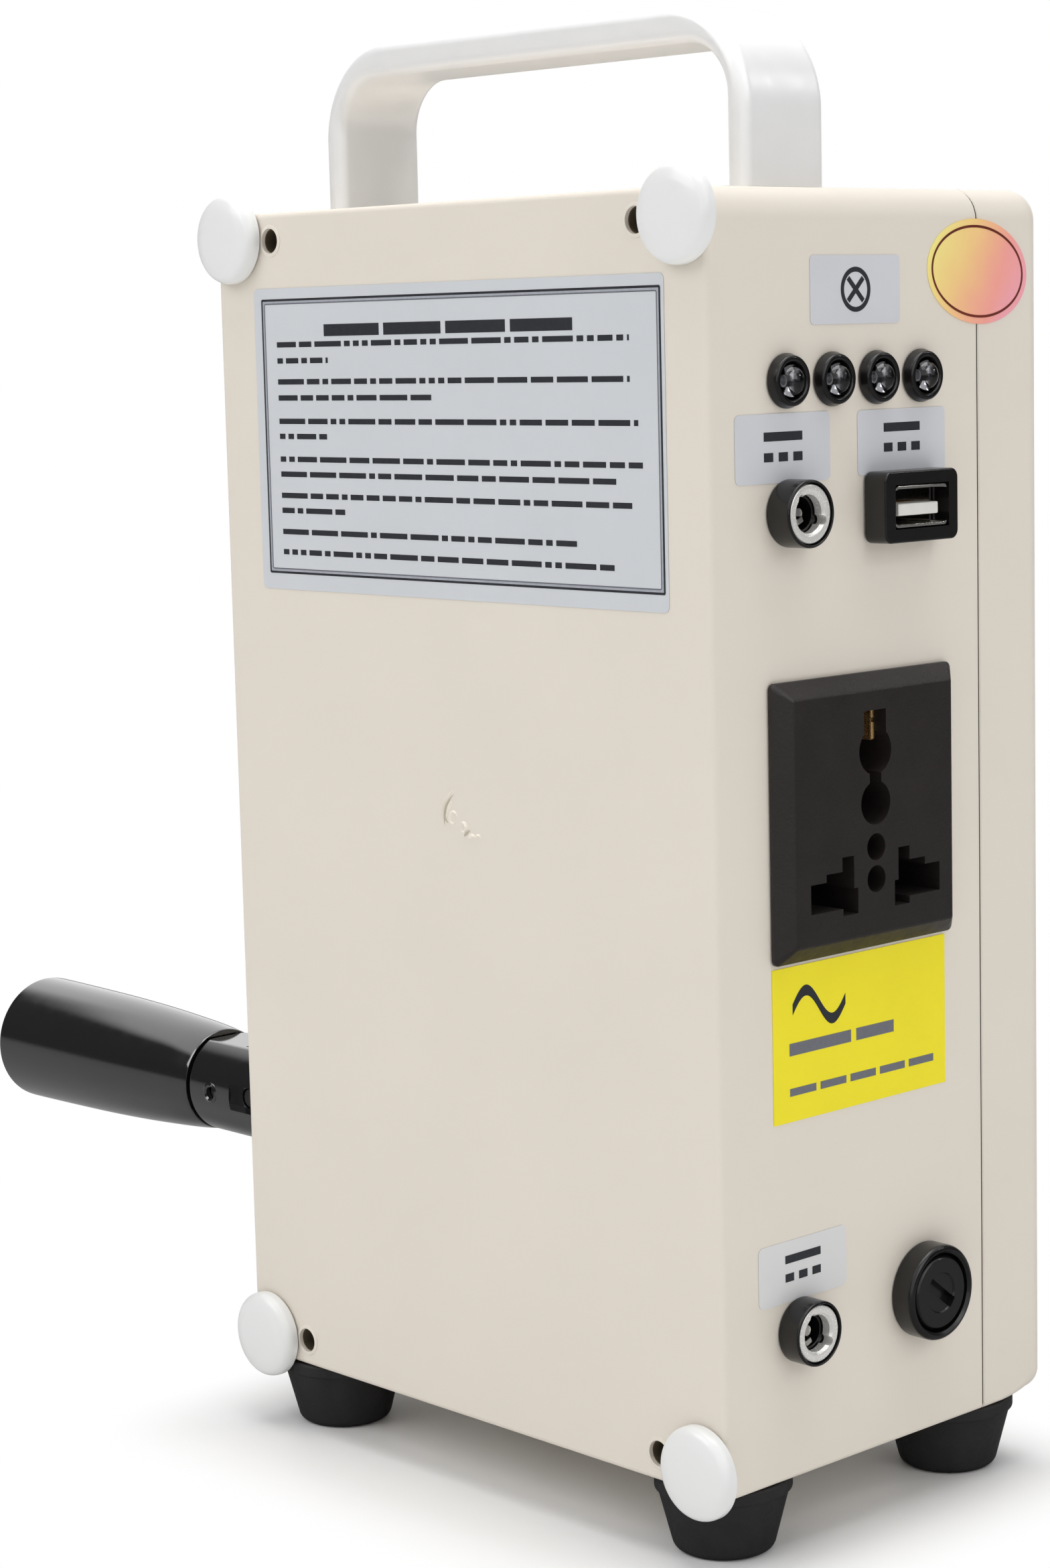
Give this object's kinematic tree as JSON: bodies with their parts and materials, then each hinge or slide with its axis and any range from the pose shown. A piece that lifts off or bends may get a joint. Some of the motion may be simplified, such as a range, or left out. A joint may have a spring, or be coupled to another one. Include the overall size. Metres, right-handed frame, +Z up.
{
  "type": "hand crank generator",
  "caption": "Upright hand crank generator box with a folding crank, strap handle, mains, USB and round outlets, lamps, push switches and rubber feet.",
  "frame": {"origin": "on the ground under the centre of the bounding box", "axes": "+Z up; +X towards the socket side, so the crank is on the -X side; -Y towards the broad rear face with the screw holes"},
  "size_m": [0.2692, 0.1014, 0.2952],
  "materials": {
    "beige_plastic": "fine satin moulded surface",
    "black_plastic": "satin black moulding",
    "gloss_black": "polished black moulding",
    "black_rubber": "matt black rubber",
    "clear_rubber": "milky clear self-adhesive bumper",
    "satin_aluminium": "satin anodised",
    "steel": "plain turned or zinc plated steel",
    "black_steel": "black painted steel",
    "nickel": "bright nickel plate",
    "brass": "bare brass",
    "clear_plastic": "water-clear moulding",
    "white_plastic": "white moulding",
    "nylon": "natural nylon",
    "green_board": "green solder mask",
    "blue_wrap": "blue shrink wrap"
  },
  "bodies": {
    "casing": {"ac_contact": "brass", "ac_socket_face": "black_plastic", "battery_pack": "blue_wrap", "carry_handle": "satin_aluminium", "case_screw_1": "steel", "case_screw_2": "steel", "case_screw_3": "steel", "case_screw_4": "steel", "charge_indicator": "clear_plastic", "charge_jack": "black_plastic", "charge_jack_ring": "nickel", "corner_bumper_1": "clear_rubber", "corner_bumper_2": "clear_rubber", "corner_bumper_3": "clear_rubber", "corner_bumper_4": "clear_rubber", "front_cover": "beige_plastic", "fuse_holder": "black_plastic", "gearbox_frame": "steel", "generator_body": "steel", "handle_bolt_1": "steel", "handle_bolt_2": "steel", "inverter_board": "green_board", "led_bezel_1": "black_plastic", "led_bezel_2": "black_plastic", "led_bezel_3": "black_plastic", "led_bezel_4": "black_plastic", "led_lamp_1": "clear_plastic", "led_lamp_2": "clear_plastic", "led_lamp_3": "clear_plastic", "led_lamp_4": "clear_plastic", "meter_panel": "black_plastic", "output_jack": "black_plastic", "output_jack_ring": "nickel", "rear_shell": "beige_plastic", "rubber_foot_1": "black_rubber", "rubber_foot_2": "black_rubber", "rubber_foot_3": "black_rubber", "rubber_foot_4": "black_rubber", "shaft_bearing": "steel", "switch_body_1": "black_plastic", "switch_body_2": "black_plastic", "switch_body_3": "black_plastic", "usb_housing": "black_plastic", "usb_shield": "nickel", "usb_tongue": "white_plastic"},
    "crank": {"crank_shaft": "steel", "crank_arm": "black_steel", "crank_nut": "steel", "drive_gear": "nylon", "pivot_pin": "steel"},
    "fold": {"grip_knuckle": "gloss_black", "grip_spindle": "steel", "spindle_pin": "steel"},
    "grip": {"crank_grip": "gloss_black"},
    "idler": {"idler_gear": "nylon"},
    "rotor": {"generator_pinion": "steel"},
    "fuse_carrier": {"fuse_cap": "black_plastic"},
    "button_1": {"switch_button_1": "gloss_black"},
    "button_2": {"switch_button_2": "gloss_black"},
    "button_3": {"switch_button_3": "gloss_black"}
  },
  "joints": [
    {"name": "crank_spin", "type": "hinge", "parent": "casing", "child": "crank", "pos_m": [-0.02185, -0.01635, 0.1686], "axis": [1, 0, 0], "continuous": true},
    {"name": "idler_spin", "type": "hinge", "parent": "casing", "child": "idler", "pos_m": [0.00625, -0.01635, 0.1986], "axis": [1, 0, 0], "continuous": true},
    {"name": "rotor_spin", "type": "hinge", "parent": "casing", "child": "rotor", "pos_m": [0.00625, 0.01365, 0.1986], "axis": [1, 0, 0], "continuous": true},
    {"name": "grip_fold", "type": "hinge", "parent": "crank", "child": "fold", "pos_m": [-0.04005, -0.01635, 0.0635], "axis": [0, 1, 0], "range_deg": [0, 90]},
    {"name": "grip_spin", "type": "hinge", "parent": "fold", "child": "grip", "pos_m": [-0.09755, -0.01635, 0.0635], "axis": [1, 0, 0], "continuous": true},
    {"name": "fuse_turn", "type": "hinge", "parent": "casing", "child": "fuse_carrier", "pos_m": [0.13205, 0.01085, 0.0446], "axis": [1, 0, 0], "range_deg": [0, 90]},
    {"name": "button_1_push", "type": "slide", "parent": "casing", "child": "button_1", "axis": [0, 0, -1], "range_m": [0, 0.0015], "stiffness_N_per_m": 800, "springref_m": -0.0005},
    {"name": "button_2_push", "type": "slide", "parent": "casing", "child": "button_2", "axis": [0, 0, -1], "range_m": [0, 0.0015], "stiffness_N_per_m": 800, "springref_m": -0.0005},
    {"name": "button_3_push", "type": "slide", "parent": "casing", "child": "button_3", "axis": [0, 0, -1], "range_m": [0, 0.0015], "stiffness_N_per_m": 800, "springref_m": -0.0005}
  ],
  "couplings": [
    {"joint": "idler_spin", "follows": "crank_spin", "ratio": -3},
    {"joint": "rotor_spin", "follows": "crank_spin", "ratio": 9}
  ]
}
